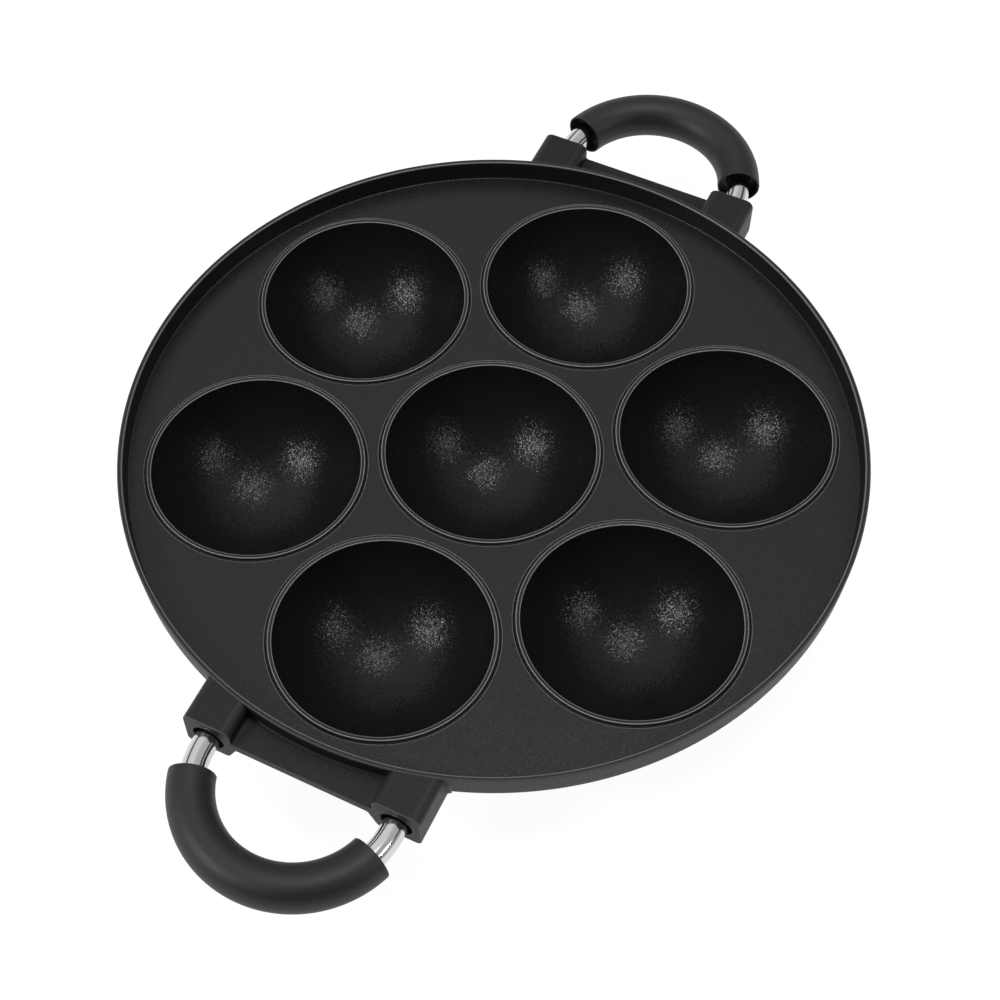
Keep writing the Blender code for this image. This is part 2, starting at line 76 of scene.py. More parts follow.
# %% [markdown]
# ## Two small helpers for node trees
# Materials and Geometry Nodes are both made of nodes, so one function adds any node: its options
# are set by name, and each of its inputs gets a number, a colour or another node's output. The
# colours are written as on a screen, in sRGB hex, and one function turns them to the linear
# light that the renderer counts in.
# %% Node and colour helpers
def add_node(tree, kind, inputs=None, **options):
    """Adds a node with its options, and sets or links its inputs."""
    made = tree.nodes.new(kind)
    for option, value in options.items():
        setattr(made, option, value)
    for label, value in (inputs or {}).items():
        socket = made.inputs[label]
        if isinstance(value, bpy.types.NodeSocket):
            tree.links.new(value, socket)
        else:
            socket.default_value = value
    return made


def colour(code):
    """The linear colour, with alpha, of an sRGB hex code."""
    parts = [int(code[at:at + 2], 16) / 255 for at in (1, 3, 5)]
    linear = [p / 12.92 if p <= 0.04045 else ((p + 0.055) / 1.055) ** 2.4 for p in parts]
    return (*linear, 1.0)


def new_material(name):
    """An empty material: its tree, its shader and the object's own coordinates in metres."""
    material = bpy.data.materials.new(name)
    material.use_nodes = True
    tree = material.node_tree
    shader = tree.nodes["Principled BSDF"]
    place = tree.nodes.new("ShaderNodeTexCoord").outputs["Object"]
    return material, tree, shader, place


print("coating black in linear light:", [round(c, 4) for c in colour("#19191a")[:3]])

# %% [markdown]
# ## The coating
# Every cast surface carries a sprayed non-stick coat: a fluoropolymer film with fine mineral
# filler, baked on to blasted aluminium. It is almost black by itself, and what the eye sees is
# mostly the studio in its satin surface. Under the film each grain of the blasted metal has a
# tilt of its own, so a highlight breaks into sparkling dots. The real grains are about 0.1 mm
# wide; they are drawn 0.33 mm wide, because finer ones would melt together in the picture. Each
# Voronoi cell stands for a grain, and its random colour, centred on nothing, is added to the
# surface's direction. A slower noise gives the weak orange peel of the spray, and a third one
# varies the gloss a little.
# The film is given in three copies that differ in colour, index and gloss. On the tray it mirrors
# most. In the hollows it is a darker copy, with a lower index, a glossier surface and more tilted
# grains: painted shade, which darkens the inside of the cups. The outside of the casting, with the
# lugs and the web, carries a plainer and duller film, as on most pans, and it is darker too:
# painted shade on the web beside the rim and on the outer wall.
# Over each convex edge a lighter grey is painted in: a painted highlight, which draws the thin
# light lines along the edges. How much is kept in the mesh as a face attribute, worked out from
# the shape further down.
# %% Sprayed non-stick coat
GRAIN_MM = 0.33
PEEL_MM = 2.5
PEEL_DEEP_MM = 0.03
CLOUD_MM = 30.0
GLOSS_SPREAD = 0.02


def coating(name, hue, edge_highlight_hue, index, dullness, grain_tilt):
    """Sprayed fluoropolymer coat on blasted aluminium: satin black with a sparkling grain.

    It takes the film's own colour, the colour of the highlight painted on its convex edges, its
    index, its roughness and how far its grains tilt.
    """
    material, tree, shader, place = new_material(name)
    grain = add_node(tree, "ShaderNodeTexVoronoi", {
        "Vector": place, "Scale": 1 / (GRAIN_MM * MM)})
    peel = add_node(tree, "ShaderNodeTexNoise", {
        "Vector": place, "Scale": 1 / (PEEL_MM * MM), "Detail": 1.0})
    cloud = add_node(tree, "ShaderNodeTexNoise", {
        "Vector": place, "Scale": 1 / (CLOUD_MM * MM), "Detail": 3.0})
    wave = add_node(tree, "ShaderNodeBump", {
        "Height": peel.outputs["Fac"], "Strength": 0.25, "Distance": PEEL_DEEP_MM * MM})
    centred = add_node(tree, "ShaderNodeVectorMath", {
        0: grain.outputs["Color"], 1: (0.5, 0.5, 0.5)}, operation="SUBTRACT")
    tilt = add_node(tree, "ShaderNodeVectorMath", {
        0: centred.outputs["Vector"], "Scale": grain_tilt}, operation="SCALE")
    tilted = add_node(tree, "ShaderNodeVectorMath", {
        0: wave.outputs["Normal"], 1: tilt.outputs["Vector"]})
    facing = add_node(tree, "ShaderNodeVectorMath", {
        0: tilted.outputs["Vector"]}, operation="NORMALIZE")
    gloss = add_node(tree, "ShaderNodeMapRange", {
        "Value": cloud.outputs["Fac"], "From Min": 0.3, "From Max": 0.7,
        "To Min": dullness - GLOSS_SPREAD, "To Max": dullness + GLOSS_SPREAD})
    # The convex edges get a lighter colour mixed in: a painted highlight.
    highlighted = add_node(tree, "ShaderNodeAttribute", attribute_name="edge_wear")
    film = add_node(tree, "ShaderNodeMix", {
        "Factor": highlighted.outputs["Fac"], "A": colour(hue), "B": colour(edge_highlight_hue)}, data_type="RGBA")
    shader.inputs["IOR"].default_value = index
    tree.links.new(film.outputs["Result"], shader.inputs["Base Color"])
    tree.links.new(gloss.outputs["Result"], shader.inputs["Roughness"])
    tree.links.new(facing.outputs["Vector"], shader.inputs["Normal"])
    return material


# Each film's second colour is the painted highlight of its convex edges.
coat = coating("dry_nonstick_film", "#19191a", "#828284", 1.355, 0.36, 0.14)
# The hollows' film and the outer film are darker copies: painted shade.
hollow_shade_coat = coating("wet_nonstick_film", "#171614", "#828284", 1.30, 0.27, 0.26)
outer_shade_coat = coating("matt_outer_film", "#161618", "#525254", 1.34, 0.52, 0.14)
print("films:", coat.name, hollow_shade_coat.name, outer_shade_coat.name)

# %% [markdown]
# ## The grips' resin
# The grips are pressed from phenolic resin, the hard black plastic of pan handles. It comes
# from the mould satin and very slightly warm, with no grain that the eye can see from here, so
# a fine noise in the roughness and a faint bump are enough.
# %% Moulded phenolic resin
RESIN_GRAIN_MM = 0.6


def resin():
    """Compression-moulded phenolic resin: warm black with a soft, even sheen."""
    material, tree, shader, place = new_material("moulded_phenolic_resin")
    grain = add_node(tree, "ShaderNodeTexNoise", {
        "Vector": place, "Scale": 1 / (RESIN_GRAIN_MM * MM), "Detail": 3.0})
    bump = add_node(tree, "ShaderNodeBump", {
        "Height": grain.outputs["Fac"], "Strength": 0.4, "Distance": 0.01 * MM})
    gloss = add_node(tree, "ShaderNodeMapRange", {
        "Value": grain.outputs["Fac"], "From Min": 0.3, "From Max": 0.7,
        "To Min": 0.48, "To Max": 0.56})
    shader.inputs["Base Color"].default_value = colour("#181219")
    shader.inputs["IOR"].default_value = 1.46
    tree.links.new(gloss.outputs["Result"], shader.inputs["Roughness"])
    tree.links.new(bump.outputs["Normal"], shader.inputs["Normal"])
    return material


phenolic = resin()
print("resin nodes:", len(phenolic.node_tree.nodes))

# %% [markdown]
# ## The tubes' steel and the fastenings' zinc
# The handle tubes are drawn stainless steel, polished along their length, so they mirror the
# studio in long light and dark stripes. The screws and washers are zinc-plated: a paler, duller
# metal with a faint mottle. A metal keeps Blender's usual IOR, and its colour is its reflection.
# %% Polished steel and zinc plate
DRAW_LINE_MM = 0.12
MOTTLE_MM = 0.8


def steel():
    """Drawn and polished stainless steel tube: a bright mirror, a little blurred."""
    material, tree, shader, place = new_material("polished_stainless_steel")
    smear = add_node(tree, "ShaderNodeTexNoise", {
        "Vector": place, "Scale": 1 / (DRAW_LINE_MM * MM), "Detail": 2.0})
    gloss = add_node(tree, "ShaderNodeMapRange", {
        "Value": smear.outputs["Fac"], "From Min": 0.3, "From Max": 0.7,
        "To Min": 0.09, "To Max": 0.14})
    shader.inputs["Base Color"].default_value = colour("#d2d0cf")
    shader.inputs["Metallic"].default_value = 1.0
    tree.links.new(gloss.outputs["Result"], shader.inputs["Roughness"])
    return material


def zinc():
    """Zinc-plated steel: pale, faintly blue, mottled by its crystals."""
    material, tree, shader, place = new_material("zinc_plated_steel")
    mottle = add_node(tree, "ShaderNodeTexVoronoi", {
        "Vector": place, "Scale": 1 / (MOTTLE_MM * MM)})
    gloss = add_node(tree, "ShaderNodeMapRange", {
        "Value": mottle.outputs["Distance"], "To Min": 0.28, "To Max": 0.42})
    shader.inputs["Base Color"].default_value = colour("#c2c6cb")
    shader.inputs["Metallic"].default_value = 1.0
    tree.links.new(gloss.outputs["Result"], shader.inputs["Roughness"])
    return material


stainless = steel()
plated = zinc()
print("metals:", stainless.name, plated.name)

# %% [markdown]
# ## Sections with rounded corners
# A cast or moulded piece has no sharp corner anywhere: the mould is rounded so that the metal
# flows and comes out. So each section is drawn by its corners, each with a radius, and this
# helper puts an arc at each corner, with a point every few degrees of turn.
# %% Rounded section helper
ARC_STEP = math.radians(15)


def arc(centre, radius, start, end, steps):
    """Points of an arc from one angle to another, both ends included."""
    angles = [start + (end - start) * step / steps for step in range(steps + 1)]
    return [(centre[0] + radius * math.cos(a), centre[1] + radius * math.sin(a)) for a in angles]


def rounded(corners, closed=False):
    """Points along corners (across, up, radius), with an arc of that radius at each of them."""
    points = []
    for index, (across, up, radius) in enumerate(corners):
        here = Vector((across, up))
        if radius == 0 or (not closed and index in (0, len(corners) - 1)):
            points.append((across, up))
            continue
        before = (Vector(corners[index - 1][:2]) - here).normalized()
        after = (Vector(corners[(index + 1) % len(corners)][:2]) - here).normalized()
        half = before.angle(after) / 2
        reach = radius / math.tan(half)
        centre = here + (before + after).normalized() * (radius / math.sin(half))
        start = here + before * reach - centre
        turn = start.angle_signed(here + after * reach - centre)
        steps = max(2, round(abs(turn) / ARC_STEP))
        for step in range(steps + 1):
            spoke = start.copy()
            spoke.rotate(Matrix.Rotation(-turn * step / steps, 2))
            points.append(tuple(centre + spoke))
    return points


print("a rounded square has", len(rounded([(0, 0, .1), (1, 0, .1), (1, 1, .1), (0, 1, .1)], True)),
      "points")

# %% [markdown]
# ## Turning a section, with Geometry Nodes
# The cups, the rim, the tubes and the screws are all round about an axis, as if turned on a
# lathe. The Spin tool could do that, but a node tree states the rule once and stays open to
# change. Curve to Mesh carries the section round a circle, and because a circle can't have a
# radius of nothing, the section is first moved in by the circle's own radius. A section that
# starts on the axis closes there, because Merge by Distance joins its repeated points.
# The outside of the piece is on the left hand as the section is drawn, so tops are drawn
# outwards and walls downwards.
# %% Tree: turned about Z
GUIDE_RADIUS = 0.1
WELD = 0.002 * MM


def new_tree(name, inputs):
    """A geometry tree with a geometry input and output, and named inputs for its sizes."""
    tree = bpy.data.node_groups.new(name, "GeometryNodeTree")
    for label, kind in [("Geometry", "Geometry"), *inputs]:
        tree.interface.new_socket(label, in_out="INPUT", socket_type=f"NodeSocket{kind}")
    tree.interface.new_socket("Geometry", in_out="OUTPUT", socket_type="NodeSocketGeometry")
    return tree, add_node(tree, "NodeGroupInput").outputs


def close_tree(tree, geometry, finish):
    """Ends a tree: copies made real, the material set, and the output linked."""
    real = add_node(tree, "GeometryNodeRealizeInstances", {"Geometry": geometry})
    dressed = add_node(tree, "GeometryNodeSetMaterial", {
        "Geometry": real.outputs["Geometry"], "Material": finish})
    add_node(tree, "NodeGroupOutput", {"Geometry": dressed.outputs["Geometry"]})


turned_tree, given = new_tree("turned", [("Sides", "Int"), ("Finish", "Material")])
section = add_node(turned_tree, "GeometryNodeMeshToCurve", {"Mesh": given["Geometry"]})
inset = add_node(turned_tree, "GeometryNodeTransform", {
    "Geometry": section.outputs["Curve"], "Translation": (-GUIDE_RADIUS, 0.0, 0.0)})
circle = add_node(turned_tree, "GeometryNodeCurvePrimitiveCircle", {
    "Resolution": given["Sides"], "Radius": GUIDE_RADIUS})
upright = add_node(turned_tree, "GeometryNodeSetCurveNormal", {"Curve": circle.outputs["Curve"]},
                   mode="Z_UP")
skin = add_node(turned_tree, "GeometryNodeCurveToMesh", {
    "Curve": upright.outputs["Curve"], "Profile Curve": inset.outputs["Geometry"]})
welded = add_node(turned_tree, "GeometryNodeMergeByDistance", {
    "Geometry": skin.outputs["Mesh"], "Distance": WELD})
close_tree(turned_tree, welded.outputs["Geometry"], given["Finish"])
print("turned tree:", len(turned_tree.nodes), "nodes")


# %% [markdown]
# A tree runs as a modifier. Its inputs are set by their sockets' identifiers, then the object is
# evaluated, and the result is kept as a plain mesh, so that nothing live is left on the piece.
# %% Run a tree
def section_mesh(name, *sections, closed=False):
    """A mesh of bare edges, one chain for each section of (across, up) points."""
    points, edges = [], []
    for chain in sections:
        first = len(points)
        points += [(across, -up, 0.0) for across, up in chain]
        edges += [(at, at + 1) for at in range(first, len(points) - 1)]
        if closed:
            edges.append((len(points) - 1, first))
    mesh = bpy.data.meshes.new(name)
    mesh.from_pydata(points, edges, [])
    return mesh


def plain_mesh(thing):
    """The evaluated mesh of an object, which is then removed."""
    bpy.context.view_layer.update()
    graph = bpy.context.evaluated_depsgraph_get()
    mesh = bpy.data.meshes.new_from_object(thing.evaluated_get(graph), depsgraph=graph)
    bpy.data.objects.remove(thing)
    return mesh


def run_tree(tree, mesh, **values):
    """Runs a tree on a mesh with its inputs set by name, and returns a plain mesh."""
    thing = bpy.data.objects.new(tree.name, mesh)
    bpy.context.scene.collection.objects.link(thing)
    modifier = thing.modifiers.new(tree.name, "NODES")
    modifier.node_group = tree
    for item in tree.interface.items_tree:
        label = item.name.replace(" ", "_")
        if item.in_out == "INPUT" and label in values:
            modifier[item.identifier] = values[label]
    return plain_mesh(thing)


test_disc = run_tree(turned_tree, section_mesh("test", [(0.0, 1 * MM), (3 * MM, 1 * MM)]),
                     Sides=12, Finish=plated)
print("a turned disc has", len(test_disc.vertices), "points, facing up:",
      test_disc.polygons[0].normal.z > 0)

# %% [markdown]
# ## The casting's sizes
# These are the CAD model's own lengths, because the dressed pan has to be the same size as its
# solids. Heights count from the floor, where the flat pads under the cups stand.
# %% Sizes of the casting
MOUTH_R = 34.2 * MM
CUP_DEEP = 30.0 * MM
CUP_FLOOR_Z = 2.6 * MM
CUP_WALL = 3.2 * MM
BEAD_FOOT_R = 36.7 * MM
BEAD_HIGH = 0.7 * MM
CUPS_ROUND = 6
PITCH = 76.3 * MM
TRAY_R = 118.1 * MM
RIM_IN_R = 118.7 * MM
RIM_R = 120.4 * MM
RIM_FOOT_R = 119.7 * MM
RIM_HIGH = 7.3 * MM
PLATE_THICK = 3.4 * MM

BEAD_Z = CUP_FLOOR_Z + CUP_DEEP
PLATE_Z = BEAD_Z - BEAD_HIGH
UNDER_Z = PLATE_Z - PLATE_THICK
RIM_Z = PLATE_Z + RIM_HIGH
BALL_R = (MOUTH_R ** 2 + CUP_DEEP ** 2) / (2 * CUP_DEEP)
BALL_Z = CUP_FLOOR_Z + BALL_R
DOME_R = BALL_R + CUP_WALL
print("cup ball radius in mm:", round(BALL_R / MM, 2))

# %% [markdown]
# ## The seven cups
# Each cup is a ball-shaped hollow with a low bead round its mouth, and a dome outside that ends
# in a small flat pad. One section is drawn in two chains: the hollow with its bead, from the
# axis out, and the dome, from the plate's underside in. Six cups stand in a ring round the
# seventh, so a second tree puts the turned cup on the points of a circle and on its centre.
# %% Section of a cup
CUP_SIDES = 112
MOUTH_EDGE = 0.3 * MM
MOUTH_DROP = 0.15 * MM
CREST_R = 35.45 * MM
CREST_EDGE = 0.25 * MM
GROOVE_R = 35.8 * MM
GROOVE_DEEP = 0.4 * MM
GROOVE_END_R = 36.5 * MM
GROOVE_EDGE = 0.12 * MM
DOME_STEPS = 14
HOLLOW_STEPS = 26
PAD_EDGE = 0.6 * MM
UNDER_FILLET = 1.2 * MM

mouth_angle = math.atan2(BEAD_Z - BALL_Z, MOUTH_R)
edge_angle = mouth_angle - (MOUTH_EDGE + MOUTH_DROP) / BALL_R
hollow = arc((0.0, BALL_Z), BALL_R, -math.pi / 2, edge_angle, HOLLOW_STEPS)
bead = rounded([
    (*hollow[-1], 0),
    (MOUTH_R, BEAD_Z - MOUTH_DROP, MOUTH_EDGE * 0.9),
    (CREST_R, BEAD_Z, CREST_EDGE),
    (GROOVE_R, PLATE_Z - GROOVE_DEEP, GROOVE_EDGE),
    (GROOVE_END_R, PLATE_Z, GROOVE_EDGE),
    (BEAD_FOOT_R, PLATE_Z, 0),
])
hollow[0] = (0.0, CUP_FLOOR_Z)

dome_top = -math.asin((BALL_Z - UNDER_Z) / DOME_R)
dome_low = -math.asin(BALL_Z / DOME_R)
dome = arc((0.0, BALL_Z), DOME_R, dome_top, dome_low, DOME_STEPS)
pad = rounded([(*dome[-2], 0), (*dome[-1], PAD_EDGE), (0.0, 0.0, 0)])
dome_chain = dome[:-1] + pad[1:]
print("cup section:", len(hollow + bead[1:]), "points inside,", len(dome_chain), "outside")

# %% Tree: cups in a ring
def ring_and_middle(tree, given):
    """Points round a circle and one in its middle, where the cups are."""
    ring = add_node(tree, "GeometryNodeMeshCircle", {
        "Vertices": given["Cups Round"], "Radius": given["Pitch"]})
    middle = add_node(tree, "GeometryNodeMeshLine", {"Count": 1})
    spots = add_node(tree, "GeometryNodeJoinGeometry")
    for made in (ring, middle):
        tree.links.new(made.outputs["Mesh"], spots.inputs["Geometry"])
    return spots.outputs["Geometry"]


cups_tree, given = new_tree("cups_in_a_ring", [
    ("Sides", "Int"), ("Cups Round", "Int"), ("Pitch", "Float"), ("Finish", "Material")])
one_cup = add_node(cups_tree, "GeometryNodeGroup", node_tree=turned_tree)
for label in ("Geometry", "Sides", "Finish"):
    cups_tree.links.new(given[label], one_cup.inputs[label])
cups = add_node(cups_tree, "GeometryNodeInstanceOnPoints", {
    "Points": ring_and_middle(cups_tree, given), "Instance": one_cup.outputs["Geometry"]})
close_tree(cups_tree, cups.outputs["Instances"], given["Finish"])

cups_mesh = run_tree(cups_tree, section_mesh("cup_section", hollow + bead[1:], dome_chain),
                     Sides=CUP_SIDES, Cups_Round=CUPS_ROUND, Pitch=PITCH, Finish=coat)
print("seven cups:", len(cups_mesh.polygons), "faces")

# %% [markdown]
# ## The rim
# The plate turns up into a plain rim, 7.3 mm high. Its inside leans out a little, so that the
# casting leaves the mould; the top is a narrow flat ring between two soft edges; and the outside
# runs down to a rounded foot under the plate. It is one more turned section.
# %% Rim
RIM_SIDES = 360
FLOOR_FILLET = 0.5 * MM
RIM_EDGE = 0.45 * MM
FOOT_FILLET = 2.2 * MM

rim_section = rounded([
    (TRAY_R - FLOOR_FILLET, PLATE_Z, 0),
    (TRAY_R, PLATE_Z, FLOOR_FILLET * 0.999),
    (RIM_IN_R, RIM_Z, RIM_EDGE),
    (RIM_R, RIM_Z, RIM_EDGE),
    (RIM_FOOT_R, UNDER_Z, FOOT_FILLET),
    (RIM_FOOT_R - FOOT_FILLET, UNDER_Z, 0),
])
rim_mesh = run_tree(turned_tree, section_mesh("rim_section", rim_section),
                    Sides=RIM_SIDES, Finish=coat)
print("rim section:", len(rim_section), "points;", len(rim_mesh.polygons), "faces")

# %% [markdown]
# ## The plate
# Between the beads and the rim lies a flat plate, with a flat underside. Fill Curve fills a
# circle and leaves the circles inside it open, and it keeps their points, so the filled sheets
# meet the cups and the rim point for point and can be welded. The underside is the same sheet,
# lower, turned over, with its own radii.
# %% Tree: plate with round holes
plate_tree, given = new_tree("plate_with_holes", [
    ("Plate Radius", "Float"), ("Plate Sides", "Int"), ("Hole Radius", "Float"),
    ("Hole Sides", "Int"), ("Cups Round", "Int"), ("Pitch", "Float"), ("Height", "Float"),
    ("Face Down", "Bool"), ("Finish", "Material")])
outer = add_node(plate_tree, "GeometryNodeCurvePrimitiveCircle", {
    "Resolution": given["Plate Sides"], "Radius": given["Plate Radius"]})
hole = add_node(plate_tree, "GeometryNodeCurvePrimitiveCircle", {
    "Resolution": given["Hole Sides"], "Radius": given["Hole Radius"]})
holes = add_node(plate_tree, "GeometryNodeInstanceOnPoints", {
    "Points": ring_and_middle(plate_tree, given), "Instance": hole.outputs["Curve"]})
hole_curves = add_node(plate_tree, "GeometryNodeRealizeInstances", {
    "Geometry": holes.outputs["Instances"]})
outlines = add_node(plate_tree, "GeometryNodeJoinGeometry")
for made, label in ((outer, "Curve"), (hole_curves, "Geometry")):
    plate_tree.links.new(made.outputs[label], outlines.inputs["Geometry"])
sheet = add_node(plate_tree, "GeometryNodeFillCurve", {"Curve": outlines.outputs["Geometry"]},
                 mode="TRIANGLES")
lift = add_node(plate_tree, "ShaderNodeCombineXYZ", {"Z": given["Height"]})
lifted = add_node(plate_tree, "GeometryNodeSetPosition", {
    "Geometry": sheet.outputs["Mesh"], "Offset": lift.outputs["Vector"]})
over = add_node(plate_tree, "GeometryNodeFlipFaces", {
    "Mesh": lifted.outputs["Geometry"], "Selection": given["Face Down"]})
close_tree(plate_tree, over.outputs["Mesh"], given["Finish"])

sheets = []
for radius, hole_radius, height, down in (
        (rim_section[0][0], BEAD_FOOT_R, PLATE_Z, False),
        (rim_section[-1][0], dome_chain[0][0], UNDER_Z, True)):
    sheets.append(run_tree(
        plate_tree, bpy.data.meshes.new("plate"), Plate_Radius=radius, Plate_Sides=RIM_SIDES,
        Hole_Radius=hole_radius, Hole_Sides=CUP_SIDES, Cups_Round=CUPS_ROUND, Pitch=PITCH,
        Height=height, Face_Down=down, Finish=coat))
    print("sheet at", round(height / MM, 2), "mm:", len(sheets[-1].polygons), "faces, normal z",
          round(sheets[-1].polygons[0].normal.z, 2))


# %% [markdown]
# Welded together, the cups, the rim and the two sheets are one closed skin. An edge that doesn't
# have two faces would be a gap, so they are counted.
# %% Weld the round part of the casting
def welded_mesh(name, *meshes):
    """One mesh of several, with points that meet made one."""
    work = bmesh.new()
    for mesh in meshes:
        work.from_mesh(mesh)
    bmesh.ops.remove_doubles(work, verts=work.verts, dist=WELD)
    gaps = sum(1 for edge in work.edges if len(edge.link_faces) != 2)
    mesh = bpy.data.meshes.new(name)
    work.to_mesh(mesh)
    print(name, len(mesh.polygons), "faces, open edges:", gaps, " volume in cm3:",
          round(work.calc_volume(signed=True) * 1e6, 2))
    work.free()
    mesh.materials.append(coat)
    return mesh


round_mesh = welded_mesh("round_casting", cups_mesh, rim_mesh, *sheets)

# %% [markdown]
# ## Lugs and web
# On each side two lugs hold the handle, and a thin web joins them. In the casting they are one
# shape: seen from the side it is a pair of spectacles, two blocks and a bridge, with a fillet
# where the bridge meets each block. The outline is drawn once in Y and Z and carried from the
# rim out to the front face. Near the rim it spreads in a quarter circle, which is the fillet
# that the mould has there, and at the front face it shrinks a little, which rounds the edge.
# %% Outline of lugs and web
SPACING = 31.5 * MM
LUG_IN_Y = 23.6 * MM
LUG_OUT_Y = 39.5 * MM
LUG_TOP_Z = RIM_Z - 0.2 * MM
LUG_LOW_Z = 23.5 * MM
LUG_FOOT_Y = 25.1 * MM
WEB_TOP_Z = BEAD_Z
WEB_LOW_Z = BEAD_Z - 2.6 * MM
LUG_FACE = 129.0 * MM
TUBE_Z = 30.4 * MM
FLARE_Y = 22.0 * MM
TOP_FILLET = 2.8 * MM
LOW_FILLET = 1.8 * MM
NECK_FILLET = 0.9 * MM
LOFT_STEP = 1.5 * MM


def split_long(points, step):
    """Adds points on the long straight stretches of a closed outline."""
    result = []
    for index, here in enumerate(points):
        ahead = points[(index + 1) % len(points)]
        gap = math.dist(here, ahead)
        parts = max(1, math.ceil(gap / step))
        result += [(here[0] + (ahead[0] - here[0]) * part / parts,
                    here[1] + (ahead[1] - here[1]) * part / parts) for part in range(parts)]
    return result


half_outline = [
    (LUG_IN_Y, WEB_TOP_Z, NECK_FILLET),
    (LUG_IN_Y, LUG_TOP_Z, TOP_FILLET),
    (LUG_OUT_Y, LUG_TOP_Z, TOP_FILLET),
    (LUG_OUT_Y, LUG_LOW_Z, LOW_FILLET),
    (LUG_FOOT_Y, LUG_LOW_Z, LOW_FILLET),
    (FLARE_Y, WEB_LOW_Z, NECK_FILLET),
]
other_half = [(-across, up, radius) for across, up, radius in reversed(half_outline)]
outline = split_long(rounded(half_outline + other_half, closed=True), LOFT_STEP)
print("outline of lugs and web:", len(outline), "points")

# %% Carry the outline from the rim to the face
FLARE = 2.0 * MM
WEB_FLARE = 0.7 * MM
FLARE_STEPS = 5
FACE_EDGE = 0.4 * MM
FACE_STEPS = 4
ROOT_DEEP = 0.9 * MM
ROOT_INSET = 0.3 * MM
ROOT_X = 111.3 * MM
WALL_LOW_Z = (27.6 * MM, 29.6 * MM)
WALL_TOP_Z = (34.5 * MM, 37.5 * MM)
INNER_POINTS = [(side * y * MM, z * MM) for side in (1, -1) for y in range(27, 38, 2)
                for z in (26, 27.6, 28.3, 29, 29.6, 32, 35)]


def smooth_step(value, low, high):
    """0 below low, 1 above high, and a smooth rise between them."""
    share = min(1.0, max(0.0, (value - low) / (high - low)))
    return share * share * (3 - 2 * share)


def outward(points):
    """The outward direction at each point of a closed outline that runs clockwise."""
    ways = []
    for index, here in enumerate(points):
        before = Vector(here) - Vector(points[index - 1])
        after = Vector(points[(index + 1) % len(points)]) - Vector(here)
        along = before.normalized() + after.normalized()
        ways.append(Vector((-along.y, along.x)).normalized())
    return ways


def root_x(across, up):
    """Where a lug springs from the round part: inside the rim, or under it from a cup's dome."""
    wall = smooth_step(up, *WALL_LOW_Z)
    rim_x = math.sqrt(RIM_R ** 2 - across ** 2) - ROOT_INSET
    return wall * rim_x + (1 - wall) * ROOT_X


def lug_pair():
    """The mesh of both lugs and the web of the right side, closed at both ends."""
    ways = outward(outline)
    rings = []
    stations = [(0.0, 0.0, ROOT_DEEP)]
    for step in range(FLARE_STEPS + 1):
        angle = math.pi / 2 * step / FLARE_STEPS
        stations.append((1 - math.cos(angle), 1 - math.sin(angle), 0.0))
    for out, spread, deep in stations:
        ring = []
        for (across, up), way in zip(outline, ways):
            wall = smooth_step(up, *WALL_LOW_Z)
            size = WEB_FLARE + (FLARE - WEB_FLARE) * smooth_step(abs(across), SPACING, LUG_OUT_Y)
            wide = spread * size * wall * (1 - smooth_step(up, *WALL_TOP_Z))
            y, z = across + way.x * wide, up + way.y * wide
            ring.append((root_x(y, up) + out * size - deep, y, z))
        rings.append(ring)
    for step in range(FACE_STEPS + 1):
        angle = math.pi / 2 * step / FACE_STEPS
        back, shrink = FACE_EDGE * (1 - math.sin(angle)), FACE_EDGE * (1 - math.cos(angle))
        rings.append([(LUG_FACE - back, across - way.x * shrink, up - way.y * shrink)
                      for (across, up), way in zip(outline, ways)])
    count = len(outline)
    faces = []
    for near in range(len(rings) - 1):
        for at in range(count):
            ahead = (at + 1) % count
            faces.append((near * count + at, (near + 1) * count + at,
                          (near + 1) * count + ahead, near * count + ahead))
    points = [point for ring in rings for point in ring]
    flat = [Vector(point) for point in outline] + [Vector(point) for point in INNER_POINTS]
    loop = [(at, (at + 1) % count) for at in range(count)]
    ends = delaunay_2d_cdt(flat, loop, [], 1, 1e-9)[2]
    for first, turned in ((0, True), ((len(rings) - 1) * count, False)):
        extra = len(points) - count
        for end in ends:
            corners = tuple(first + at if at < count else extra + at for at in end)
            faces.append(tuple(reversed(corners)) if turned else corners)
        points += [(root_x(y, z) - ROOT_DEEP if turned else LUG_FACE, y, z)
                   for y, z in INNER_POINTS]
    mesh = bpy.data.meshes.new("lug_pair")
    mesh.from_pydata(points, [], faces)
    work = bmesh.new()
    work.from_mesh(mesh)
    bmesh.ops.recalc_face_normals(work, faces=work.faces)
    print("lugs and web:", len(work.faces), "faces, open edges:",
          sum(1 for edge in work.edges if len(edge.link_faces) != 2),
          " volume in cm3:", round(work.calc_volume(signed=True) * 1e6, 2))
    work.to_mesh(mesh)
    work.free()
    return mesh


pair_mesh = lug_pair()

# %% [markdown]
# ## Join and bore
# The lugs are joined to the round part, and the holes are cut: a bore with a wider mouth for
# each end of the tube, and a clearance hole from below for each screw. Booleans with the exact
# solver do both. Each cutter is a turned section, laid along X or left upright.
# %% Join and bore the casting
BORE_R = 4.3 * MM
MOUTH_BORE_R = 5.25 * MM
MOUTH_BORE_DEEP = 2.4 * MM
BORE_END_X = 119.3 * MM
BORE_LIP = 0.35 * MM
OVERRUN = 2.0 * MM
SCREW_X = 124.2 * MM
SCREW_HOLE_R = 1.8 * MM
BORE_SIDES = 48
HALF_TURN = Matrix.Rotation(math.pi, 4, "Z")
LAID = Matrix.Rotation(math.pi / 2, 4, "Y")


def placed(mesh, *places):
    """One mesh with a copy of a mesh at each place."""
    work = bmesh.new()
    for place in places:
        copy = mesh.copy()
        copy.transform(place)
        work.from_mesh(copy)
    result = bpy.data.meshes.new(mesh.name)
    work.to_mesh(result)
    work.free()
    for material in mesh.materials:
        result.materials.append(material)
    return result


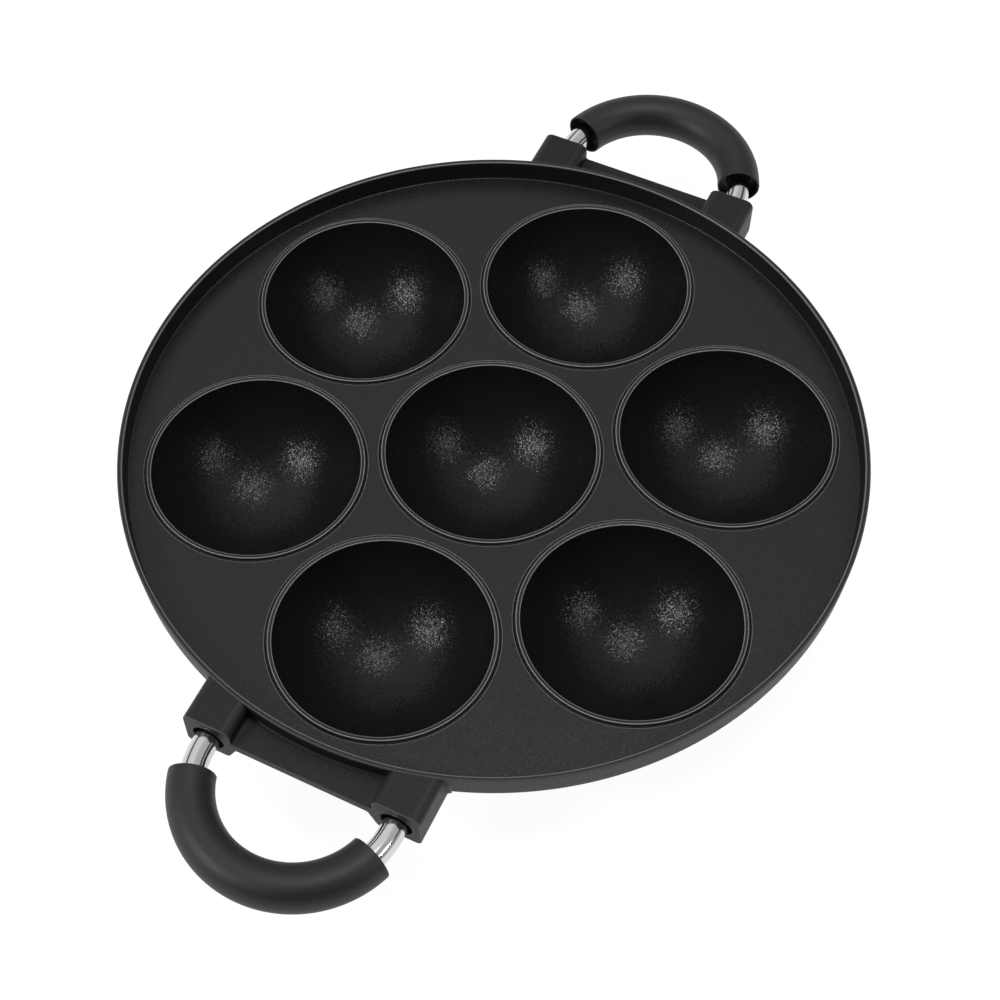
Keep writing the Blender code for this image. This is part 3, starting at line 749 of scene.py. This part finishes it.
def cut(mesh, *steps):
    """A mesh after Boolean steps, each one an operation and the other mesh."""
    thing = bpy.data.objects.new("cut", mesh)
    bpy.context.scene.collection.objects.link(thing)
    tools = []
    for operation, other in steps:
        tool = bpy.data.objects.new("tool", other)
        bpy.context.scene.collection.objects.link(tool)
        modifier = thing.modifiers.new("cut", "BOOLEAN")
        modifier.operation = operation
        modifier.solver = "EXACT"
        modifier.object = tool
        tools.append(tool)
    result = plain_mesh(thing)
    for tool in tools:
        bpy.data.objects.remove(tool)
    return result


bore_section = [(0.0, LUG_FACE + OVERRUN), (MOUTH_BORE_R + BORE_LIP, LUG_FACE + OVERRUN)]
bore_section += arc((MOUTH_BORE_R + BORE_LIP, LUG_FACE - BORE_LIP), BORE_LIP,
                    math.pi / 2, math.pi, 3)
bore_section += [(MOUTH_BORE_R, LUG_FACE - MOUTH_BORE_DEEP), (BORE_R, LUG_FACE - MOUTH_BORE_DEEP),
                 (BORE_R, BORE_END_X), (0.0, BORE_END_X)]
bore = run_tree(turned_tree, section_mesh("bore", bore_section), Sides=BORE_SIDES, Finish=coat)
bore.transform(LAID)
screw_hole = run_tree(turned_tree, section_mesh("screw_hole", [
    (0.0, TUBE_Z), (SCREW_HOLE_R, TUBE_Z), (SCREW_HOLE_R, LUG_LOW_Z - OVERRUN),
    (0.0, LUG_LOW_Z - OVERRUN)]), Sides=24, Finish=coat)
sides = [Matrix.Identity(4), HALF_TURN]
corners = [turn @ Matrix.Translation((0.0, across, 0.0))
           for turn in sides for across in (SPACING, -SPACING)]
bores = placed(bore, *[corner @ Matrix.Translation((0.0, 0.0, TUBE_Z)) for corner in corners])
screw_holes = placed(screw_hole, *[corner @ Matrix.Translation((SCREW_X, 0.0, 0.0))
                                   for corner in corners])
casting_mesh = cut(round_mesh, ("UNION", placed(pair_mesh, *sides)),
                   ("DIFFERENCE", bores), ("DIFFERENCE", screw_holes))
print("casting:", len(casting_mesh.polygons), "faces,", len(casting_mesh.vertices), "points")


# %% [markdown]
# ## Shade the casting
# Smooth shading blends the direction of the faces that meet at a point. On a wide flat plate
# next to a small fillet that would spread the fillet's tilt over the whole plate, so the
# Weighted Normal modifier lets big faces count for more. Sharp edges stay sharp.
# The painted highlight of the edges is worked out here too: a face beside a convex bend gets as
# much of it as it is curved, so a fine edge gets most, and a flat face gets none.
# %% Finish a piece
SHARP = math.radians(40)
HIGHLIGHT_BEND = math.radians(6)
HIGHLIGHT_LEAST_CURVE = 0.25 / MM
FULL_HIGHLIGHT_CURVE = 4.0 / MM
BIG_FACES_WEIGH = 90


def mark_edge_highlight(mesh):
    """Stores the painted edge highlight on each face, from the sharpest convex bend beside it."""
    work = bmesh.new()
    work.from_mesh(mesh)
    layer = work.faces.layers.float.new("edge_wear")
    for edge in work.edges:
        bend = edge.calc_face_angle_signed(0.0) if len(edge.link_faces) == 2 else 0.0
        if bend > HIGHLIGHT_BEND:
            for face in edge.link_faces:
                curve = bend * edge.calc_length() / max(face.calc_area(), WELD ** 2)
                if curve > HIGHLIGHT_LEAST_CURVE:
                    face[layer] = max(face[layer], min(1.0, curve / FULL_HIGHLIGHT_CURVE))
    highlighted = sum(1 for face in work.faces if face[layer] > 0)
    work.to_mesh(mesh)
    work.free()
    print("worn faces:", highlighted)


def finished(name, mesh, slot, material, *nodes):
    """Puts a finished mesh into the scene as a piece that rides on the pan."""
    work = bmesh.new()
    work.from_mesh(mesh)
    bmesh.ops.remove_doubles(work, verts=work.verts, dist=WELD)
    bmesh.ops.dissolve_degenerate(work, edges=work.edges, dist=WELD)
    gaps = sum(1 for edge in work.edges if len(edge.link_faces) != 2)
    work.to_mesh(mesh)
    work.free()
    mesh.materials.clear()
    mesh.materials.append(material)
    mesh.shade_smooth()
    mesh.set_sharp_from_angle(angle=SHARP)
    thing = bpy.data.objects.new(name, mesh)
    bpy.context.scene.collection.objects.link(thing)
    weigh = thing.modifiers.new("weigh", "WEIGHTED_NORMAL")
    weigh.keep_sharp = True
    weigh.weight = BIG_FACES_WEIGH
    piece = bpy.data.objects.new(name, plain_mesh(thing))
    piece.data.name = name
    bpy.context.scene.collection.objects.link(piece)
    piece.name = name
    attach(piece, "root")
    if nodes:
        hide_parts(*nodes)
    triangles = sum(len(face.vertices) - 2 for face in piece.data.polygons)
    print(piece.name, triangles, "triangles, open edges:", gaps)
    return piece


cup_nodes = ["cup_centre"] + [f"cup_{number}" for number in range(1, CUPS_ROUND + 1)]
# Painted highlight on the convex edges, kept as a face attribute.
mark_edge_highlight(casting_mesh)
casting = finished("pan_casting", casting_mesh, "coated_casting", coat, "pan_body", *cup_nodes)

# %% [markdown]
# Each copy of the film goes to its place: a face near a cup's ball is in a hollow and gets the
# copy with painted shade, and a face low down or outside the rim's top is on the outside and gets
# the outer copy, also with painted shade. All the rest keeps the tray's film.
# %% Three films on the casting, two of them with painted shade
HOLLOW_REACH = BALL_R + 0.05 * MM
OUTSIDE_Z = UNDER_Z + 1 * MM
TRAY_FILM, HOLLOW_SHADE_FILM, OUTER_SHADE_FILM = range(3)

casting.data.materials.append(hollow_shade_coat)
casting.data.materials.append(outer_shade_coat)
cup_spots = [Vector((0.0, 0.0, BALL_Z))]
cup_spots += [Vector((PITCH * math.cos(math.tau * turn / CUPS_ROUND),
                      PITCH * math.sin(math.tau * turn / CUPS_ROUND), BALL_Z))
              for turn in range(CUPS_ROUND)]
counts = [0, 0, 0]
for face in casting.data.polygons:
    film = TRAY_FILM
    if min((face.center - spot).length for spot in cup_spots) < HOLLOW_REACH:
        film = HOLLOW_SHADE_FILM
    elif face.center.z < OUTSIDE_Z or face.center.xy.length > RIM_R - RIM_EDGE:
        film = OUTER_SHADE_FILM
    face.material_index = film
    counts[film] += 1
print("faces with the tray's, the hollows' and the outer film:", counts)

# %% [markdown]
# ## Tubes and grips, bent along the handle
# A handle tube is drawn straight and then bent round a former, and its grip follows the same
# bend. So both are first turned straight, with their length along Z, and a tree bends them:
# it reads each point's height as a length along the handle's path, and moves the point there,
# out along the path's own sideways direction. The path is a mesh of bare edges.
# %% Tree: bent along a path
bent_tree, given = new_tree("bent_along_path", [
    ("Sides", "Int"), ("Path", "Object"), ("Finish", "Material")])
straight = add_node(bent_tree, "GeometryNodeGroup", node_tree=turned_tree)
for label in ("Geometry", "Sides", "Finish"):
    bent_tree.links.new(given[label], straight.inputs[label])
route = add_node(bent_tree, "GeometryNodeObjectInfo", {"Object": given["Path"]})
line = add_node(bent_tree, "GeometryNodeMeshToCurve", {"Mesh": route.outputs["Geometry"]})
level = add_node(bent_tree, "GeometryNodeSetCurveNormal", {"Curve": line.outputs["Curve"]},
                 mode="Z_UP")
spot = add_node(bent_tree, "GeometryNodeInputPosition")
parts = add_node(bent_tree, "ShaderNodeSeparateXYZ", {"Vector": spot.outputs["Position"]})
sample = add_node(bent_tree, "GeometryNodeSampleCurve", {
    "Curves": level.outputs["Curve"], "Length": parts.outputs["Z"]}, mode="LENGTH")
sideways = add_node(bent_tree, "ShaderNodeVectorMath", {
    0: sample.outputs["Normal"], "Scale": parts.outputs["X"]}, operation="SCALE")
downwards = add_node(bent_tree, "ShaderNodeVectorMath", {
    0: (0.0, 0.0, -1.0), "Scale": parts.outputs["Y"]}, operation="SCALE")
across_path = add_node(bent_tree, "ShaderNodeVectorMath", {
    0: sideways.outputs["Vector"], 1: downwards.outputs["Vector"]})
bent_spot = add_node(bent_tree, "ShaderNodeVectorMath", {
    0: sample.outputs["Position"], 1: across_path.outputs["Vector"]})
bent = add_node(bent_tree, "GeometryNodeSetPosition", {
    "Geometry": straight.outputs["Geometry"], "Position": bent_spot.outputs["Vector"]})
close_tree(bent_tree, bent.outputs["Geometry"], given["Finish"])
print("bend tree:", len(bent_tree.nodes), "nodes")

# %% [markdown]
# The tube's section is a wall 1 mm thick with its end edges broken. The grip's section has a
# rounded outer edge at each end and a shallow recess round the tube, as in the photograph.
# %% Sections of tube and grip
TUBE_R = 4.0 * MM
TUBE_WALL = 1.0 * MM
TUBE_END_X = 119.8 * MM
BEND_X = 131.0 * MM
BEND_STEP = math.radians(1.5)
GRIP_R = 7.3 * MM
GRIP_HALF = math.radians(71.5)
GRIP_BORE_R = 4.3 * MM
GRIP_EDGE = 0.2 * MM
GRIP_LIP = 0.12 * MM
RECESS_R = 6.8 * MM
RECESS_DEEP = 3.6 * MM
TUBE_SIDES = 48
GRIP_SIDES = 96


def bend(half_angle):
    """Points of the handle's bend, from +Y to -Y, over an angle each side of its middle."""
    steps = math.ceil(2 * half_angle / BEND_STEP)
    angles = [half_angle - 2 * half_angle * step / steps for step in range(steps + 1)]
    return [(BEND_X + SPACING * math.cos(a), SPACING * math.sin(a), TUBE_Z) for a in angles]


def path_object(name, points):
    """A chain of edges for a tree to follow, and its length."""
    mesh = bpy.data.meshes.new(name)
    mesh.from_pydata(points, [(at, at + 1) for at in range(len(points) - 1)], [])
    thing = bpy.data.objects.new(name, mesh)
    bpy.context.scene.collection.objects.link(thing)
    return thing, sum(math.dist(here, ahead) for here, ahead in zip(points, points[1:]))


def along_path(name, points, corners, sides, material):
    """The mesh of a section turned straight, then bent along points; corners take its length."""
    route, length = path_object(name, points)
    section = split_long(rounded(corners(length), closed=True), SPACING * BEND_STEP)
    mesh = run_tree(bent_tree, section_mesh(name, section, closed=True),
                    Sides=sides, Path=route, Finish=material)
    bpy.data.objects.remove(route)
    print(name, "length in mm:", round(length / MM, 1), " faces:", len(mesh.polygons))
    return mesh


def tube_corners(length):
    """The tube's wall, drawn up the bore, out over the far end and back down the outside."""
    inner, edge = TUBE_R - TUBE_WALL, 0.2 * MM
    return [(inner, 0.0, edge), (inner, length, edge), (TUBE_R, length, edge), (TUBE_R, 0.0, edge)]


def grip_corners(length):
    """The grip's wall, with a recess at each end."""
    ends = [(GRIP_BORE_R, RECESS_DEEP, GRIP_LIP), (GRIP_BORE_R, length - RECESS_DEEP, GRIP_LIP)]
    far = [(RECESS_R, length - RECESS_DEEP, GRIP_LIP), (RECESS_R, length, GRIP_LIP),
           (GRIP_R, length, GRIP_EDGE)]
    near = [(GRIP_R, 0.0, GRIP_EDGE), (RECESS_R, 0.0, GRIP_LIP),
            (RECESS_R, RECESS_DEEP, GRIP_LIP)]
    return ends + far + near


legs = [(TUBE_END_X, SPACING, TUBE_Z)], [(TUBE_END_X, -SPACING, TUBE_Z)]
tube_mesh = along_path("tube", legs[0] + bend(math.pi / 2) + legs[1], tube_corners, TUBE_SIDES,
                       stainless)
grip_mesh = along_path("grip", bend(GRIP_HALF), grip_corners, GRIP_SIDES, phenolic)

# %% [markdown]
# The grip is pressed between two mould halves that meet at the height of the tube's middle. A
# hair of resin squeezes in there, and it shows as a fine line along the grip. Each half turn of
# the section has a point at that height, so those points are moved out a little.
# %% Mould line, screw holes in the tube, and the pieces
MOULD_LINE = 0.12 * MM

for point in grip_mesh.vertices:
    out = Vector((point.co.x - BEND_X, point.co.y))
    from_middle = out.length - SPACING
    if abs(point.co.z - TUBE_Z) < WELD and abs(from_middle) > GRIP_R - WELD:
        out.length += MOULD_LINE if from_middle > 0 else -MOULD_LINE
        point.co.x, point.co.y = BEND_X + out.x, out.y

tube_holes = placed(screw_hole, *[Matrix.Translation((SCREW_X, across, 0.0))
                                  for across in (SPACING, -SPACING)])
tube_mesh = cut(tube_mesh, ("DIFFERENCE", tube_holes))
for side, turn in zip(("right", "left"), sides):
    tube = finished(f"{side}_tube", placed(tube_mesh, turn), "handle_steel", stainless,
                    f"{side}_handle_tube")
    grip = finished(f"{side}_handle_grip", placed(grip_mesh, turn), "phenolic_grip", phenolic,
                    f"{side}_grip")

# %% [markdown]
# ## Screws and washers
# From below, a pan head screw with a spring washer holds each end of a tube. A third tree puts
# one turned screw at the four corners of a grid, each turned by its own seeded amount, because
# nobody lines up the slots of screws. The washer is a ring of square wire, cut through and
# sprung open by a fraction of a millimetre.
# %% Tree: one at each lug
SCREW_R = 1.5 * MM
SCREW_TIP_Z = 31.7 * MM
WASHER_TOP_Z = 23.2 * MM
WASHER_R = 3.1 * MM
WASHER_THICK = 0.8 * MM
HEAD_TOP_Z = 22.1 * MM
HEAD_R = 2.8 * MM
HEAD_HIGH = 2.0 * MM
CROSS_LONG = 3.0 * MM
CROSS_WIDE = 0.7 * MM
CROSS_DEEP = 1.1 * MM

lugs_tree, given = new_tree("one_at_each_lug", [
    ("Along", "Float"), ("Across", "Float"), ("Seed", "Int"), ("Finish", "Material")])
grid = add_node(lugs_tree, "GeometryNodeMeshGrid", {
    "Size X": given["Along"], "Size Y": given["Across"], "Vertices X": 2, "Vertices Y": 2})
twist = add_node(lugs_tree, "FunctionNodeRandomValue", {
    "Min": (0.0, 0.0, 0.0), "Max": (0.0, 0.0, math.tau), "Seed": given["Seed"]},
    data_type="FLOAT_VECTOR")
copies = add_node(lugs_tree, "GeometryNodeInstanceOnPoints", {
    "Points": grid.outputs["Mesh"], "Instance": given["Geometry"],
    "Rotation": twist.outputs["Value"]})
close_tree(lugs_tree, copies.outputs["Instances"], given["Finish"])


def block(name, half_x, half_y, low, high):
    """A closed box mesh, used only as a cutting tool."""
    work = bmesh.new()
    bmesh.ops.create_cube(work, size=2.0)
    bmesh.ops.scale(work, vec=(half_x, half_y, (high - low) / 2), verts=work.verts)
    bmesh.ops.translate(work, vec=(0.0, 0.0, (high + low) / 2), verts=work.verts)
    mesh = bpy.data.meshes.new(name)
    work.to_mesh(mesh)
    work.free()
    return mesh


head_low = HEAD_TOP_Z - HEAD_HIGH
screw_section = rounded([
    (0.0, SCREW_TIP_Z, 0), (SCREW_R, SCREW_TIP_Z, 0.3 * MM), (SCREW_R, HEAD_TOP_Z, 0.1 * MM),
    (HEAD_R, HEAD_TOP_Z, 0.2 * MM), (HEAD_R, head_low, 0.9 * MM), (0.0, head_low, 0)])
screw = run_tree(turned_tree, section_mesh("screw", screw_section), Sides=32, Finish=plated)
screw = cut(screw, *[("DIFFERENCE", block("cross", long / 2, wide / 2, head_low - OVERRUN,
                                          head_low + CROSS_DEEP))
                     for long, wide in ((CROSS_LONG, CROSS_WIDE), (CROSS_WIDE, CROSS_LONG))])
washer_section = rounded([
    (SCREW_HOLE_R, WASHER_TOP_Z - WASHER_THICK, 0.1 * MM), (SCREW_HOLE_R, WASHER_TOP_Z, 0.1 * MM),
    (WASHER_R, WASHER_TOP_Z, 0.1 * MM), (WASHER_R, WASHER_TOP_Z - WASHER_THICK, 0.1 * MM)],
    closed=True)
washer = run_tree(turned_tree, section_mesh("washer", washer_section, closed=True), Sides=40,
                  Finish=plated)
slit = block("slit", WASHER_R, 0.3 * MM, WASHER_TOP_Z - OVERRUN, WASHER_TOP_Z + OVERRUN)
slit.transform(Matrix.Translation((WASHER_R, 0.0, 0.0)))
washer = cut(washer, ("DIFFERENCE", slit))

lug_names = [f"{side}_{end}" for side in ("right", "left") for end in ("back", "front")]
for name, mesh, seed in (("screw", screw, 3), ("washer", washer, 5)):
    four = run_tree(lugs_tree, mesh, Along=2 * SCREW_X, Across=2 * SPACING, Seed=seed,
                    Finish=plated)
    finished(f"{name}s", four, "zinc_fastener", plated, *[f"{lug}_{name}" for lug in lug_names])
for lug in lug_names:
    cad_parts[f"{lug}_slug"].data.materials.clear()
    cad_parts[f"{lug}_slug"].data.materials.append(plated)

# %% [markdown]
# ## Floor and light
# The photograph was taken on white, in a white studio with three soft lights: one nearly
# overhead, one to each side. Each shows as a soft spot in every cup, and their directions were
# read from those spots. The side behind the eye is darker than the rest of the room, as it is
# wherever a photographer stands, and a dark seam runs round the room between its lit walls and
# ceiling, which draws the long dark lines on the tubes. The floor glows a little, so that it
# stays white round a pan that shades it.
# %% Floor
FLOOR_HALF = 6.0
PAPER_GLOW = 0.95

floor_mesh = bpy.data.meshes.new("floor")
floor_mesh.from_pydata([(-FLOOR_HALF, -FLOOR_HALF, 0), (FLOOR_HALF, -FLOOR_HALF, 0),
                        (FLOOR_HALF, FLOOR_HALF, 0), (-FLOOR_HALF, FLOOR_HALF, 0)], [],
                       [(0, 1, 2, 3)])
floor = bpy.data.objects.new("floor", floor_mesh)
floor.location.z = -0.05 * MM
bpy.context.scene.collection.objects.link(floor)
paper, tree, shader, place = new_material("white_paper")
shader.inputs["Base Color"].default_value = colour("#595959")
shader.inputs["Roughness"].default_value = 0.9
shader.inputs["Specular IOR Level"].default_value = 0.2
shader.inputs["Emission Color"].default_value = (1.0, 1.0, 1.0, 1.0)
shader.inputs["Emission Strength"].default_value = PAPER_GLOW
floor_mesh.materials.append(paper)
print("floor laid")

# %% Lights and world
LIGHT_FAR = 2.5
STUDIO = 0.9
SEAM_ELEVATION = 25
SEAM_HALF = 0.17
SEAM_GLOW = 0.15
TARGET = Vector((0.0, 0.0, 30 * MM))


def direction(azimuth, elevation):
    """The direction of an azimuth from +X and an elevation, in degrees."""
    a, e = math.radians(azimuth), math.radians(elevation)
    return Vector((math.cos(a) * math.cos(e), math.sin(a) * math.cos(e), math.sin(e)))


for name, azimuth, elevation, size, power in (
        ("left_light", 139, 36, 0.35, 24), ("right_light", 272, 34, 0.35, 10),
        ("top_light", 300, 84, 0.4, 18)):
    lamp = bpy.data.lights.new(name, "AREA")
    lamp.shape = "DISK"
    lamp.size = size
    lamp.energy = power
    way = direction(azimuth, elevation)
    light = bpy.data.objects.new(name, lamp)
    light.location = TARGET + way * LIGHT_FAR
    light.rotation_mode = "QUATERNION"
    light.rotation_quaternion = way.to_track_quat("Z", "Y")
    bpy.context.scene.collection.objects.link(light)

world = bpy.data.worlds.new("studio")
world.use_nodes = True
tree = world.node_tree
sky = tree.nodes["Background"]
look = tree.nodes.new("ShaderNodeTexCoord").outputs["Generated"]
up = add_node(tree, "ShaderNodeSeparateXYZ", {"Vector": look})
factors = []
for azimuth, elevation, near, far, least in (
        (208, 25, 0.30, 0.85, 0.12), (300, 20, 0.30, 0.60, 0.65)):
    toward = add_node(tree, "ShaderNodeVectorMath", {0: look, 1: direction(azimuth, elevation)},
                      operation="DOT_PRODUCT")
    factors.append(add_node(tree, "ShaderNodeMapRange", {
        "Value": toward.outputs["Value"], "From Min": near, "From Max": far,
        "To Min": 1.0, "To Max": least}, interpolation_type="SMOOTHSTEP"))
off = add_node(tree, "ShaderNodeMath", {
    0: up.outputs["Z"], 1: math.sin(math.radians(SEAM_ELEVATION))}, operation="SUBTRACT")
far_off = add_node(tree, "ShaderNodeMath", {0: off.outputs["Value"]}, operation="ABSOLUTE")
factors.append(add_node(tree, "ShaderNodeMapRange", {
    "Value": far_off.outputs["Value"], "From Min": SEAM_HALF * 0.5, "From Max": SEAM_HALF,
    "To Min": SEAM_GLOW, "To Max": 1.0}, interpolation_type="SMOOTHSTEP"))
glow = STUDIO
for factor in factors:
    glow = add_node(tree, "ShaderNodeMath", {
        0: glow, 1: factor.outputs["Result"]}, operation="MULTIPLY").outputs["Value"]
tree.links.new(glow, sky.inputs["Strength"])
sky.inputs["Color"].default_value = (1.0, 1.0, 1.0, 1.0)
bpy.context.scene.world = world
bpy.context.scene.view_settings.view_transform = "Standard"
